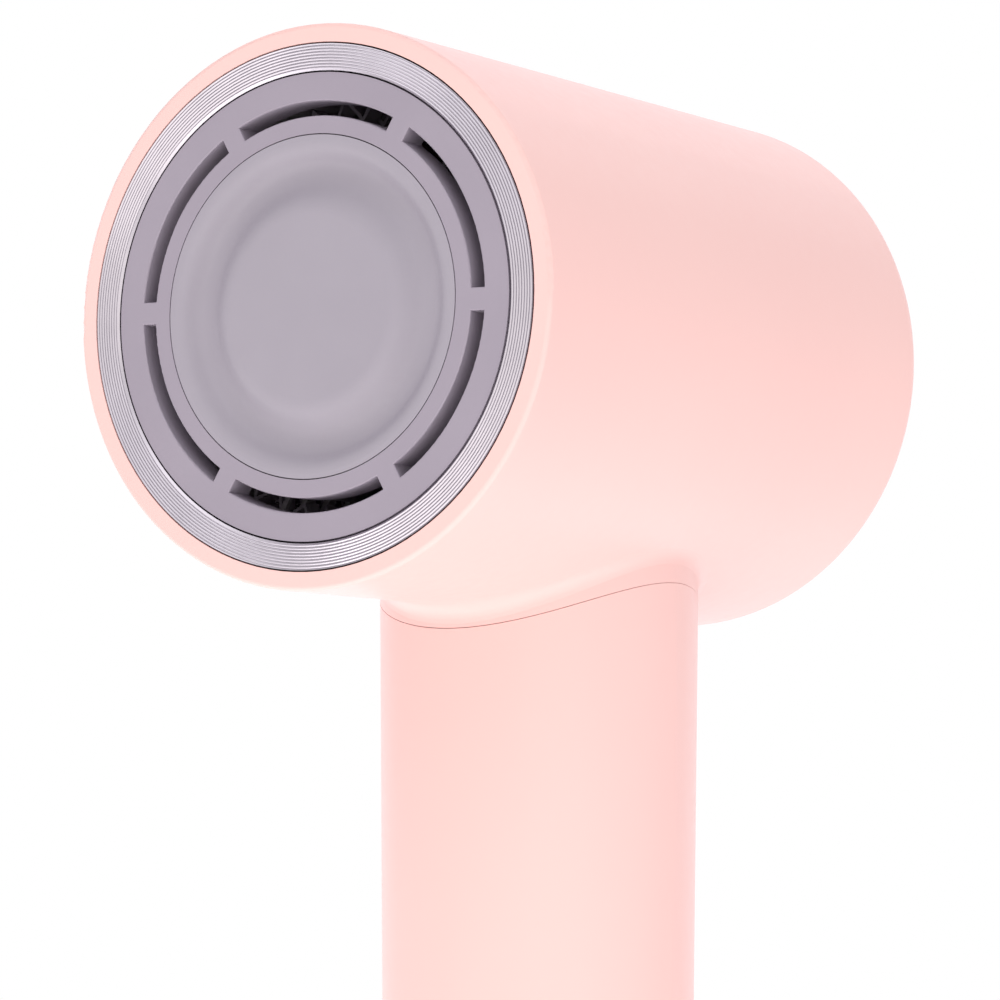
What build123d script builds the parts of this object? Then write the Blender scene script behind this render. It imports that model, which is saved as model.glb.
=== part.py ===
"""Hair dryer with a straight barrel on a tapered handle: the fan motor sits in the handle and blows up
through the neck into the barrel, past the heater and out of six arc slots."""
import os
from math import cos, radians, sin, sqrt

from build123d import *

os.makedirs("parts", exist_ok=True)

# All sizes are millimetres and degrees. The origin is the middle of the handle's base, +Z runs up the
# handle, and the outlet faces -Y.

# Barrel and handle, from outside
AXIS_Z = 230.0
BARREL_R = 35.0
BARREL_WALL = 2.35
FRONT_Y = -53.5
REAR_Y = 41.5
FRONT_EDGE_R = 0.6
REAR_EDGE_R = 2.5
HANDLE_BASE_R = 18.8
HANDLE_TOP_R = 20.93
HANDLE_WALL = 2.0
COLLAR_H = 3.0
COLLAR_BLEND_R = 2.5

# Clearances
SEAM_GAP = 0.08
FIT_GAP = 0.1
PRESS_GAP = 0.05
RUN_GAP = 0.3
SPIN_GAP = 0.03

# Outlet face: grooved trim ring, slotted plate and dished cap
RING_GAP = 0.2
RING_W = 3.32
RING_T = 2.5
RING_BEVEL = 0.28
GROOVE_COUNT = 8
GROOVE_LAND = 0.06
GROOVE_D = 0.11
MAGNET_T = 2.0
PLATE_GAP = 0.22
PLATE_SINK = 0.25
PLATE_T = 2.4
PLATE_RIM_W = 3.51
SLOT_W = 1.85
SLOT_COUNT = 6
SLOT_TURN = -1.4
WEB_W = 2.8
SLOT_EDGE_R = 0.18
SKIRT_T = 1.0
CAP_BAND_W = 2.2
CAP_GAP = 0.14
CAP_LEDGE_W = 1.35
CAP_LEDGE_T = 0.9
CAP_RIM_W = 0.6
CAP_VALLEY_R = 16.8
CAP_VALLEY_D = 2.0
CAP_CROWN_R = 11.6
CAP_CROWN_H = 0.2
CAP_SPIGOT_H = 3.6

# Heater, behind the outlet
LINER_FLANGE_T = 1.5
LEDGE_W = 1.3
LEDGE_T = 3.0
LINER_WALL = 1.2
NOSE_L = 6.0
HEATER_BACK_Y = -20.5
SHIELD_T = 0.5
CORE_R = 12.0
CORE_WALL = 1.2
CORE_CONE_L = 9.0
CORE_BACK_Y = -8.0
CORE_TAIL_L = 7.0
SPIGOT_L = 1.5
FIN_COUNT = 6
FIN_T = 0.7
FIN_FRONT_Y = -39.5
FIN_BACK_Y = -21.0
RIBBON_COUNT = 4
RIBBON_W = 2.9
RIBBON_T = 0.7
RIBBON_FOLDS = 36
RIBBON_H = 3.2
RIBBON_ROOM = 0.5
RIBBON_MOUTH = 3.0
THERMOSTAT_R = 3.6
THERMOSTAT_H = 4.5
THERMOSTAT_CHAMFER = 0.6
THERMOSTAT_Y = -13.5
FUSE_R = 1.5
FUSE_L = 8.0
FUSE_CRIMP = 0.5
FUSE_AT = 150.0
SENSOR_R = 1.2
SENSOR_H = 5.0
SENSOR_TIP_R = 0.9
SENSOR_AT = 30.0

# Rear of the barrel
COVER_T = 2.8
COVER_STEP_W = 2.0
COVER_DOME = 0.7
COVER_SINK = 0.3
COVER_GAP = 0.15
COVER_EDGE_R = 0.3
COVER_LAND_W = 1.9
COVER_HOOK_L = 3.0
COVER_HOOK_T = 1.6
REAR_FLANGE_T = 1.6
DEFLECTOR_Y = 24.0
DEFLECTOR_T = 1.6
DEFLECTOR_DISH = 7.0

# Neck between the handle and the barrel
NECK_R = 14.8
NECK_WALL = 1.2
NECK_FLANGE_T = 1.6
NECK_FLANGE_W = 5.0
NECK_END = 58.0
BOSS_R = 2.0
BOSS_AT = 17.1
BOSS_H = 14.0
SCREW_R = 1.1
SCREW_HEAD_R = 2.0
SCREW_HEAD_H = 1.4
SCREW_L = 17.0
SCREW_SLOT_W = 0.6
SCREW_SLOT_D = 0.7

# Intake at the handle's foot
FOOT_GAP = 0.5
FOOT_EDGE_R = 0.6
COVER_TOP_Z = 42.0
INTAKE_WALL = 1.4
INTAKE_SLOTS = 24
INTAKE_SLOT_L = 30.0
INTAKE_SLOT_W = 2.4
INTAKE_MID_Z = 20.5
MESH_T = 0.25
SPIGOT_WALL = 1.4
SPIGOT_LOW_Z = 36.0
SHOULDER_T = 2.0
FRAME_WALL = 1.7
FRAME_POSTS = 6
FRAME_POST_W = 3.0
FRAME_POST_T = 1.5
BASE_T = 4.0
BASE_CHAMFER = 0.6
HUB_R = 7.4
HUB_H = 9.0
GLAND_BORE_R = 3.3
GLAND_WALL = 1.8
GLAND_L = 15.0
GLAND_HEAD_R = 6.6
GLAND_SINK = 0.3
FRAME_SCREWS = 3
FRAME_SCREW_Z = 39.5
FRAME_SCREW_R = 0.8
FRAME_SCREW_HEAD_R = 1.5
FRAME_SCREW_HEAD_H = 0.8

# Fan motor
MOTOR_R = 14.8
MOTOR_WALL = 1.0
MOTOR_H = 43.2
MOTOR_LIP_R = 0.8
DAMPER_T = 2.5
DAMPER_L = 10.0
DAMPER_LIP_W = 1.8
SHAFT_R = 1.5
SHAFT_LOW = 3.6
SHAFT_L = 38.4
SHAFT_CHAMFER = 0.3
FAN_LOW = 4.0
FAN_H = 10.0
FAN_NOSE_R = 4.5
FAN_HUB_R = 8.4
FAN_BORE_R = 6.4
FAN_SKIN_H = 7.0
BLADE_COUNT = 13
BLADE_T = 0.8
BLADE_ROOT_L = 10.0
BLADE_TIP_L = 11.5
BLADE_ROOT_AT = 52.0
BLADE_TIP_AT = 34.0
VANE_COUNT = 11
VANE_T = 0.8
VANE_L = 13.0
VANE_AT = 112.0
VANE_MID = 23.0
DUCT_W = 3.4
SLEEVE_T = 0.8
CARRIER_LOW = 15.6
CARRIER_T = 1.5
CARRIER_HUB_T = 1.4
SLEEVE_TOP = 39.6
BEARING_R = 4.0
BEARING_H = 4.0
BEARING_LIP = 0.6
BEARING_CHAMFER = 0.3
STATOR_LOW = 22.2
STATOR_H = 12.0
STATOR_BORE_R = 4.5
STATOR_YOKE_W = 1.4
STATOR_TEETH = 6
TOOTH_W = 2.2
TOOTH_TIP_W = 4.0
TOOTH_TIP_T = 0.9
COIL_T = 1.05
COIL_END = 1.7
COIL_IN = 0.25
MAGNET_GAP = 0.4
MAGNET_OVER = 1.0
BRACKET_LOW = 36.6
BRACKET_T = 1.6
BRACKET_HUB_H = 4.6
MOTOR_BOARD_T = 1.2

# Chassis and boards in the handle
CHASSIS_RING_H = 4.0
CHASSIS_LIP = 1.0
POST_IN_R = 14.4
POST_REACH = 12.0
BOARD_ROOM = 4.0
DRIVER_Y = -5.0
DRIVER_T = 1.6
DRIVER_W = 31.0
GROOVE_GAP = 0.08
CONTROL_Y = 8.4
CONTROL_T = 1.2
CONTROL_W = 27.0
CONTROL_LOW = 24.0
CONTROL_L = 47.0
CAPACITOR_R = 4.6
CAPACITOR_L = 20.0
CAPACITOR_RISE = 20.0
CAPACITOR_CRIMP = 0.5
CHOKE_R = 4.5
CHOKE_H = 7.5
CHOKE_WAIST = 1.3
CHOKE_FLANGE = 1.3
CHOKE_RISE = 40.0
SINK_W = 14.0
SINK_H = 14.0
SINK_BASE = 1.4
SINK_FIN_H = 4.0
SINK_FIN_T = 1.0
SINK_FINS = 5
SINK_RISE = 56.0
CHIP_W = 10.0
CHIP_H = 9.0
CHIP_T = 2.6

# Controls on the back of the handle
SLIDER_RISE = 39.5
SLIDER_TRAVEL = 6.0
KNOB_L = 11.0
KNOB_W = 5.4
KNOB_PROUD = 1.2
KNOB_RIDGES = 4
KNOB_RIDGE_W = 0.7
KNOB_RIDGE_D = 0.45
KNOB_RIDGE_PITCH = 1.7
FOOT_W = 9.6
FOOT_T = 1.4
FOOT_EXTRA = 0.8
LEVER_W = 2.0
LEVER_H = 2.4
LEVER_IN = 1.6
SWITCH_W = 7.0
SWITCH_L = 16.0
SWITCH_H = 4.4
SWITCH_WELL = 2.2
BUTTON_RISE = 26.0
BUTTON_R = 4.6
BUTTON_PROUD = 0.9
BUTTON_EDGE_R = 0.6
BUTTON_TRAVEL = 1.0
BUTTON_FLANGE_W = 1.2
BUTTON_FLANGE_T = 1.3
BUTTON_DISH_R = 14.0
BUTTON_DISH_D = 0.4
BUTTON_STEM_R = 1.6
TACT_W = 6.0
TACT_H = 3.4
TACT_PIN_R = 1.5
TACT_PIN_H = 0.8

# Radii across the barrel
bore_r = BARREL_R - BARREL_WALL
ring_out = bore_r - RING_GAP
ring_in = ring_out - RING_W
plate_r = ring_in - PLATE_GAP
slot_out = plate_r - PLATE_RIM_W
slot_in = slot_out - SLOT_W
cap_hole = slot_in - CAP_BAND_W
cap_r = cap_hole - CAP_GAP
cap_seat = cap_hole - CAP_LEDGE_W
ledge_r = bore_r - LEDGE_W
liner_r = ledge_r - FIT_GAP
liner_in = liner_r - LINER_WALL
shield_r = liner_in - FIT_GAP
shield_in = shield_r - SHIELD_T
ribbon_r = shield_in - RIBBON_ROOM - RIBBON_T
seam_r = BARREL_R + COLLAR_H
flange_out = bore_r - FIT_GAP
flange_in = bore_r - NECK_FLANGE_T
cover_hole = BARREL_R - REAR_EDGE_R - COVER_STEP_W
cover_land = cover_hole - COVER_LAND_W

# Stations along the barrel
plate_y = FRONT_Y + PLATE_SINK
plate_back = plate_y + PLATE_T
ring_back = FRONT_Y + RING_T
liner_y = ring_back + MAGNET_T
ledge_y = liner_y + LINER_FLANGE_T
nose_back = liner_y + NOSE_L
cover_y = REAR_Y - COVER_T
flange_y = cover_y - REAR_FLANGE_T

# Heights up the handle
shoulder_z = COVER_TOP_Z + RUN_GAP
stack_z = shoulder_z + SHOULDER_T
motor_z = stack_z + DAMPER_T
motor_top = motor_z + MOTOR_H
chassis_z = motor_top + DAMPER_T
neck_z = AXIS_Z - NECK_END
slider_z = chassis_z + SLIDER_RISE
button_z = slider_z + BUTTON_RISE
board_low = chassis_z + CHASSIS_RING_H + BOARD_ROOM
board_top = neck_z - CHASSIS_RING_H - BOARD_ROOM
barrel_floor = AXIS_Z - BARREL_R
taper = (HANDLE_TOP_R - HANDLE_BASE_R) / barrel_floor


def handle_r(z):
    """Outer radius of the tapered handle at a height."""
    return HANDLE_BASE_R + taper * z


def handle_in(z):
    """Inner radius of the handle at a height."""
    return handle_r(z) - HANDLE_WALL


def barrel_half(angle=90.0):
    """Half plane through the barrel's axis: local x runs along +Y, local y outwards at this angle."""
    out = Vector(cos(radians(angle)), 0, sin(radians(angle)))
    along = Vector(0, 1, 0)
    return Plane(origin=(0, 0, AXIS_Z), x_dir=along, z_dir=along.cross(out))


def outline(plane, *points):
    """Closed straight-sided face on a plane."""
    with BuildSketch(plane) as face:
        with BuildLine():
            Polyline(*points, close=True)
        make_face()
    return face.sketch


def barrel_face(y):
    """Plane across the barrel at a station, seen from the front: x to the right, y up."""
    return Plane(origin=(0, y, AXIS_Z), x_dir=(1, 0, 0), z_dir=(0, -1, 0))


def handle_back(y):
    """Plane across the handle's back at a depth, facing +Y with local y up."""
    return Plane(origin=(0, y, 0), x_dir=(-1, 0, 0), z_dir=(0, 1, 0))


def frame_screw_plane(turn, radius):
    """Plane facing outwards at the height of the frame screws."""
    out = Vector(cos(radians(turn)), sin(radians(turn)), 0)
    return Plane(origin=out * radius + Vector(0, 0, FRAME_SCREW_Z), z_dir=out)


screw_turns = [90 + 360 / FRAME_SCREWS * i for i in range(FRAME_SCREWS)]
BARREL_AXIS = Axis((0, 0, AXIS_Z), (0, 1, 0))
BARREL = barrel_half()
HANDLE = Plane.XZ

intake_in = handle_r(FOOT_GAP) - INTAKE_WALL
mesh_in = intake_in - FIT_GAP - MESH_T
spigot_r = mesh_in - RUN_GAP
spigot_in = spigot_r - SPIGOT_WALL
frame_r = spigot_in - FIT_GAP
frame_in = frame_r - FRAME_WALL
motor_in = MOTOR_R - MOTOR_WALL
fan_r = motor_in - RUN_GAP
vane_r = motor_in - PRESS_GAP
sleeve_r = vane_r - DUCT_W
sleeve_in = sleeve_r - SLEEVE_T
stator_r = sleeve_in - PRESS_GAP
rotor_r = STATOR_BORE_R - MAGNET_GAP
carrier_z = motor_z + CARRIER_LOW
stator_z = motor_z + STATOR_LOW
bracket_z = motor_z + BRACKET_LOW

# Barrel shell: a tube with a lip in front, a stepped rear opening and a collar that blends down to the handle
with BuildPart() as barrel_shell:
    revolve(
        outline(
            HANDLE,
            (0, barrel_floor - COLLAR_H - COLLAR_BLEND_R),
            (handle_r(barrel_floor), barrel_floor - COLLAR_H - COLLAR_BLEND_R),
            (handle_r(barrel_floor), AXIS_Z),
            (0, AXIS_Z),
        ),
        axis=Axis.Z,
    )
    revolve(
        outline(BARREL, (FRONT_Y, 0), (FRONT_Y, seam_r), (REAR_Y, seam_r), (REAR_Y, 0)),
        axis=BARREL_AXIS,
        mode=Mode.INTERSECT,
    )
    revolve(
        outline(BARREL, (FRONT_Y, 0), (FRONT_Y, BARREL_R), (REAR_Y, BARREL_R), (REAR_Y, 0)),
        axis=BARREL_AXIS,
    )
    saddle = barrel_shell.edges().filter_by(GeomType.BSPLINE).group_by(Axis.Z)[-1]
    fillet(saddle, COLLAR_BLEND_R)
    front_edge = barrel_shell.edges().filter_by(GeomType.CIRCLE).sort_by(Axis.Y)[0]
    fillet(front_edge, FRONT_EDGE_R)
    rear_edge = barrel_shell.edges().filter_by(GeomType.CIRCLE).sort_by(Axis.Y)[-1]
    fillet(rear_edge, REAR_EDGE_R)
    revolve(
        outline(
            BARREL,
            (FRONT_Y, 0),
            (FRONT_Y, bore_r),
            (ledge_y, bore_r),
            (ledge_y, ledge_r),
            (ledge_y + LEDGE_T, ledge_r),
            (ledge_y + LEDGE_T, bore_r),
            (flange_y, bore_r),
            (flange_y, cover_land),
            (cover_y, cover_land),
            (cover_y, cover_hole),
            (REAR_Y, cover_hole),
            (REAR_Y, 0),
        ),
        axis=BARREL_AXIS,
        mode=Mode.SUBTRACT,
    )
    with BuildSketch(Plane.XY.offset(barrel_floor - BARREL_R)):
        Circle(NECK_R + FIT_GAP)
        with Locations((0, -BOSS_AT), (0, BOSS_AT)):
            Circle(SCREW_R + FIT_GAP)
    extrude(amount=2 * BARREL_R, mode=Mode.SUBTRACT)

# Rear cover: a gently domed disc that clips into the barrel's stepped rear opening
with BuildPart() as rear_cover:
    with BuildSketch(BARREL) as cover_profile:
        with BuildLine():
            rim = Polyline(
                (cover_y, 0),
                (cover_y, cover_land - FIT_GAP - COVER_HOOK_T),
                (cover_y - COVER_HOOK_L, cover_land - FIT_GAP - COVER_HOOK_T),
                (cover_y - COVER_HOOK_L, cover_land - FIT_GAP),
                (cover_y, cover_land - FIT_GAP),
                (cover_y, cover_hole - COVER_GAP),
                (REAR_Y - COVER_SINK - COVER_DOME, cover_hole - COVER_GAP),
            )
            dome = TangentArc((REAR_Y - COVER_SINK, 0), rim @ 1, tangent=(0, 1))
            Line(rim @ 0, dome @ 0)
        make_face()
        cover_edge = cover_profile.vertices().group_by(Axis.Y)[-1].sort_by(Axis.X)[-1]
        fillet(cover_edge, COVER_EDGE_R)
    revolve(axis=BARREL_AXIS)

# Trim ring: turned metal with fine shallow grooves on its face and a bevel inside
with BuildPart() as trim_ring:
    revolve(
        outline(
            BARREL,
            (FRONT_Y, ring_in + RING_BEVEL),
            (FRONT_Y, ring_out),
            (ring_back, ring_out),
            (ring_back, ring_in),
            (FRONT_Y + RING_BEVEL, ring_in),
        ),
        axis=BARREL_AXIS,
    )
    groove_pitch = (RING_W - RING_BEVEL) / GROOVE_COUNT
    groove_half = (groove_pitch - GROOVE_LAND) / 2
    with BuildSketch(BARREL):
        for i in range(GROOVE_COUNT):
            with Locations((FRONT_Y, ring_in + RING_BEVEL + groove_pitch * (i + 0.5))):
                Polygon((0, -groove_half), (GROOVE_D, 0), (0, groove_half), (-GROOVE_D, 0))
    revolve(axis=BARREL_AXIS, mode=Mode.SUBTRACT)

# Magnet ring behind the trim ring, which holds what is slipped onto the lip
with BuildPart() as magnet_ring:
    revolve(
        outline(BARREL, (ring_back, ring_in), (ring_back, ring_out), (liner_y, ring_out), (liner_y, ring_in)),
        axis=BARREL_AXIS,
    )

# Outlet grille: a plate with six arc slots, a ledge for the cap and skirts that lead the air to the slots
with BuildPart() as outlet_grille:
    revolve(
        outline(
            BARREL,
            (plate_y, cap_hole),
            (plate_y, plate_r),
            (liner_y, plate_r),
            (liner_y, plate_r - SKIRT_T),
            (plate_back, plate_r - SKIRT_T),
            (plate_back, slot_out + SKIRT_T),
            (liner_y, slot_out + SKIRT_T),
            (liner_y, slot_in - SKIRT_T),
            (plate_back, slot_in - SKIRT_T),
            (plate_back, cap_seat),
            (plate_back - CAP_LEDGE_T, cap_seat),
            (plate_back - CAP_LEDGE_T, cap_hole),
        ),
        axis=BARREL_AXIS,
    )
    with BuildSketch(barrel_face(liner_y)):
        Circle(slot_out)
        Circle(slot_in, mode=Mode.SUBTRACT)
        with PolarLocations((slot_out + slot_in) / 2, SLOT_COUNT, SLOT_TURN):
            Rectangle(2 * SLOT_W, WEB_W, mode=Mode.SUBTRACT)
    extrude(amount=liner_y - plate_y, mode=Mode.SUBTRACT)
    plate_front = outlet_grille.faces().filter_by(Axis.Y).sort_by(Axis.Y)[0]
    slot_edges = [edge for wire in plate_front.inner_wires() for edge in wire.edges()]
    fillet([edge for edge in slot_edges if edge.length < cap_hole * radians(180)], SLOT_EDGE_R)

# Centre cap: a narrow rim, a soft round valley and a flat middle
with BuildPart() as centre_cap:
    with BuildSketch(BARREL):
        with BuildLine():
            skin = Polyline(
                (plate_y - CAP_CROWN_H, 0),
                (plate_y + CAP_SPIGOT_H, 0),
                (plate_y + CAP_SPIGOT_H, cap_seat - FIT_GAP),
                (plate_back - CAP_LEDGE_T, cap_seat - FIT_GAP),
                (plate_back - CAP_LEDGE_T, cap_r),
                (plate_y, cap_r),
                (plate_y, cap_r - CAP_RIM_W),
            )
            inwards = (0, -1)
            bank = Spline(skin @ 1, (plate_y + CAP_VALLEY_D, CAP_VALLEY_R), tangents=(inwards, inwards))
            rise = Spline(bank @ 1, (plate_y - CAP_CROWN_H, CAP_CROWN_R), tangents=(inwards, inwards))
            Line(rise @ 1, skin @ 0)
        make_face()
    revolve(axis=BARREL_AXIS)

# Outlet liner: the heat-proof tube around the heater, with a nose that narrows to the slots
with BuildPart() as outlet_liner:
    revolve(
        outline(
            BARREL,
            (liner_y, slot_out),
            (liner_y, bore_r - FIT_GAP),
            (ledge_y, bore_r - FIT_GAP),
            (ledge_y, liner_r),
            (HEATER_BACK_Y, liner_r),
            (HEATER_BACK_Y, liner_in),
            (nose_back, liner_in),
        ),
        axis=BARREL_AXIS,
    )

# Flow core: the hollow bullet in the middle of the air stream
with BuildPart() as flow_core:
    with BuildSketch(BARREL):
        with BuildLine():
            body = Polyline(
                (liner_y - SPIGOT_L, slot_in - 2 * SKIRT_T - FIT_GAP),
                (liner_y - SPIGOT_L, slot_in - SKIRT_T - FIT_GAP),
                (liner_y, slot_in - SKIRT_T - FIT_GAP),
                (liner_y, slot_in),
                (liner_y + CORE_CONE_L, CORE_R),
                (CORE_BACK_Y, CORE_R),
            )
            tail = EllipticalCenterArc((CORE_BACK_Y, 0), CORE_TAIL_L, CORE_R, start_angle=0, arc_size=90)
            well = Polyline(
                tail @ 0,
                (CORE_BACK_Y, 0),
                (CORE_BACK_Y, CORE_R - CORE_WALL),
                (liner_y + CORE_CONE_L, CORE_R - CORE_WALL),
                body @ 0,
            )
        make_face()
    revolve(axis=BARREL_AXIS)

# Heat shield: a mica tube inside the liner
with BuildPart() as heat_shield:
    revolve(
        outline(
            BARREL,
            (nose_back, shield_in),
            (nose_back, shield_r),
            (HEATER_BACK_Y, shield_r),
            (HEATER_BACK_Y, shield_in),
        ),
        axis=BARREL_AXIS,
    )

# Heater fins: mica combs between the core and the shield, with a gap for each ribbon
ribbon_pitch = (FIN_BACK_Y - FIN_FRONT_Y) / RIBBON_COUNT
ribbon_at = [FIN_FRONT_Y + ribbon_pitch * (i + 0.5) for i in range(RIBBON_COUNT)]
fin_mid = (FIN_FRONT_Y + FIN_BACK_Y) / 2
fin_low = CORE_R + PRESS_GAP
fin_high = shield_in - FIT_GAP
comb_r = ribbon_r - RIBBON_H - FIT_GAP
with BuildPart() as heater_fins:
    for i in range(FIN_COUNT):
        with BuildSketch(barrel_half(360 / FIN_COUNT * i)):
            with Locations((fin_mid, (fin_low + fin_high) / 2)):
                Rectangle(FIN_BACK_Y - FIN_FRONT_Y, fin_high - fin_low)
            for y in ribbon_at:
                with Locations((y, fin_high)):
                    Rectangle(RIBBON_W + RUN_GAP, 2 * (fin_high - comb_r), mode=Mode.SUBTRACT)
        extrude(amount=FIN_T / 2, both=True)

# Heater ribbons: folded strips that run round the combs, each open at the foot where its ends leave
fold_angles = [180 / RIBBON_FOLDS * i for i in range(2 * RIBBON_FOLDS)]
with BuildPart() as heater_ribbons:
    for y in ribbon_at:
        with BuildSketch(barrel_face(y)):
            for grow, mode in ((RIBBON_T, Mode.ADD), (0, Mode.SUBTRACT)):
                with BuildLine():
                    Polyline(
                        *[
                            (
                                (ribbon_r + grow - RIBBON_H * (i % 2)) * cos(radians(a)),
                                (ribbon_r + grow - RIBBON_H * (i % 2)) * sin(radians(a)),
                            )
                            for i, a in enumerate(fold_angles)
                        ],
                        close=True,
                    )
                make_face(mode=mode)
            with Locations((0, -ribbon_r)):
                Rectangle(RIBBON_MOUTH, ribbon_r, mode=Mode.SUBTRACT)
        extrude(amount=RIBBON_W / 2, both=True)

# Thermostat, thermal fuse and temperature sensor on the core behind the heater
with BuildPart() as thermostat:
    with BuildSketch(Plane(origin=(0, THERMOSTAT_Y, AXIS_Z))):
        Circle(THERMOSTAT_R)
    extrude(amount=CORE_R + THERMOSTAT_H)
    revolve(
        outline(BARREL, (FRONT_Y, 0), (FRONT_Y, CORE_R), (REAR_Y, CORE_R), (REAR_Y, 0)),
        axis=BARREL_AXIS,
        mode=Mode.SUBTRACT,
    )
    thermostat_edge = thermostat.edges().filter_by(GeomType.CIRCLE).sort_by(Axis.Z)[-1]
    chamfer(thermostat_edge, THERMOSTAT_CHAMFER)

with BuildPart() as thermal_fuse:
    with BuildSketch(barrel_face(THERMOSTAT_Y + FUSE_L / 2)):
        with PolarLocations(CORE_R + FUSE_R + PRESS_GAP, 1, FUSE_AT):
            Circle(FUSE_R)
    extrude(amount=FUSE_L)
    chamfer(thermal_fuse.edges().filter_by(GeomType.CIRCLE), FUSE_CRIMP)

with BuildPart() as temperature_sensor:
    sensor_out = Vector(cos(radians(SENSOR_AT)), 0, sin(radians(SENSOR_AT)))
    sensor_foot = Vector(0, THERMOSTAT_Y, AXIS_Z) + sensor_out * CORE_R
    with BuildSketch(Plane(origin=sensor_foot, z_dir=sensor_out)):
        Circle(SENSOR_R)
    extrude(amount=SENSOR_H)
    fillet(temperature_sensor.faces().sort_by(Axis(sensor_foot, sensor_out))[-1].edges(), SENSOR_TIP_R)

# Air deflector: the dished wall that closes off the rear of the barrel and turns the air forwards
with BuildPart() as air_deflector:
    with BuildSketch(BARREL):
        with BuildLine():
            dish = SagittaArc((DEFLECTOR_Y + DEFLECTOR_DISH, 0), (DEFLECTOR_Y, bore_r - FIT_GAP), -DEFLECTOR_T)
            wall = Polyline(
                dish @ 1,
                (flange_y, bore_r - FIT_GAP),
                (flange_y, bore_r - FIT_GAP - DEFLECTOR_T),
                (DEFLECTOR_Y + 2 * DEFLECTOR_T, bore_r - FIT_GAP - DEFLECTOR_T),
                (DEFLECTOR_Y + DEFLECTOR_DISH + DEFLECTOR_T, 0),
                dish @ 0,
            )
        make_face()
    revolve(axis=BARREL_AXIS)

# Neck duct: the sleeve that carries the air up, with a saddle flange inside the barrel
screw_seat = AXIS_Z - bore_r + NECK_FLANGE_T
with BuildPart() as neck_duct:
    with BuildSketch(Plane.XY.offset(barrel_floor)):
        Circle(NECK_R + NECK_FLANGE_W)
    extrude(amount=BARREL_R)
    revolve(
        outline(BARREL, (FRONT_Y, 0), (FRONT_Y, flange_out), (REAR_Y, flange_out), (REAR_Y, 0)),
        axis=BARREL_AXIS,
        mode=Mode.INTERSECT,
    )
    with BuildSketch(Plane.XY.offset(neck_z)):
        Circle(NECK_R)
    extrude(amount=AXIS_Z - neck_z)
    revolve(
        outline(BARREL, (FRONT_Y, 0), (FRONT_Y, flange_in), (REAR_Y, flange_in), (REAR_Y, 0)),
        axis=BARREL_AXIS,
        mode=Mode.SUBTRACT,
    )
    with BuildSketch(Plane.XY.offset(neck_z)):
        Circle(NECK_R - NECK_WALL)
        with Locations((0, -BOSS_AT), (0, BOSS_AT)):
            Circle(SCREW_R + FIT_GAP)
    extrude(amount=AXIS_Z - neck_z, mode=Mode.SUBTRACT)
    with BuildSketch(Plane.XY.offset(screw_seat)):
        with Locations((0, -BOSS_AT), (0, BOSS_AT)):
            Circle(SCREW_HEAD_R + FIT_GAP)
    extrude(amount=BARREL_R, mode=Mode.SUBTRACT)

# Neck screws: two, down through the saddle flange and the collar into the handle's bosses
with BuildPart() as neck_screws:
    with BuildSketch(Plane.XY.offset(screw_seat)):
        with Locations((0, -BOSS_AT), (0, BOSS_AT)):
            Circle(SCREW_HEAD_R)
    extrude(amount=SCREW_HEAD_H)
    with BuildSketch(Plane.XY.offset(screw_seat)):
        with Locations((0, -BOSS_AT), (0, BOSS_AT)):
            Circle(SCREW_R)
    extrude(amount=-SCREW_L)
    with BuildSketch(Plane.XY.offset(screw_seat + SCREW_HEAD_H)):
        with Locations((0, -BOSS_AT), (0, BOSS_AT)):
            Rectangle(2 * SCREW_R, SCREW_SLOT_W)
            Rectangle(SCREW_SLOT_W, 2 * SCREW_R)
    extrude(amount=-SCREW_SLOT_D, mode=Mode.SUBTRACT)

# Handle shell: a tapered tube with a saddle-cut top, a spigot for the intake cover and two openings behind
slot_mid = slider_z + SLIDER_TRAVEL / 2
with BuildPart() as handle_shell:
    revolve(
        outline(
            HANDLE,
            (spigot_in, SPIGOT_LOW_Z),
            (spigot_r, SPIGOT_LOW_Z),
            (spigot_r, shoulder_z),
            (handle_r(shoulder_z), shoulder_z),
            (handle_r(AXIS_Z), AXIS_Z),
            (handle_in(AXIS_Z), AXIS_Z),
            (handle_in(stack_z), stack_z),
            (spigot_in, stack_z),
        ),
        axis=Axis.Z,
    )
    with BuildSketch(Plane.XY.offset(barrel_floor - BOSS_H)):
        with Locations((0, -BOSS_AT), (0, BOSS_AT)):
            Circle(BOSS_R)
    extrude(amount=BOSS_H)
    with BuildSketch(Plane.XY.offset(barrel_floor - BOSS_H)):
        with Locations((0, -BOSS_AT), (0, BOSS_AT)):
            Circle(SCREW_R + PRESS_GAP)
    extrude(amount=BOSS_H, mode=Mode.SUBTRACT)
    revolve(
        outline(
            BARREL,
            (FRONT_Y, 0),
            (FRONT_Y, seam_r + SEAM_GAP),
            (REAR_Y, seam_r + SEAM_GAP),
            (REAR_Y, 0),
        ),
        axis=BARREL_AXIS,
        mode=Mode.SUBTRACT,
    )
    with BuildSketch(handle_back(0)):
        with Locations((0, slot_mid)):
            SlotOverall(KNOB_L + SLIDER_TRAVEL + 2 * RUN_GAP, KNOB_W + 2 * RUN_GAP, 90)
        with Locations((0, button_z)):
            Circle(BUTTON_R + RUN_GAP)
    extrude(amount=2 * HANDLE_TOP_R, mode=Mode.SUBTRACT)
    for turn in screw_turns:
        with BuildSketch(frame_screw_plane(turn, spigot_r)):
            Circle(FRAME_SCREW_R + PRESS_GAP)
        extrude(amount=-SPIGOT_WALL - FIT_GAP, mode=Mode.SUBTRACT)
        with BuildSketch(frame_screw_plane(turn, spigot_r)):
            Circle(FRAME_SCREW_HEAD_R + PRESS_GAP)
        extrude(amount=-FRAME_SCREW_HEAD_H - PRESS_GAP, mode=Mode.SUBTRACT)

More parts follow.
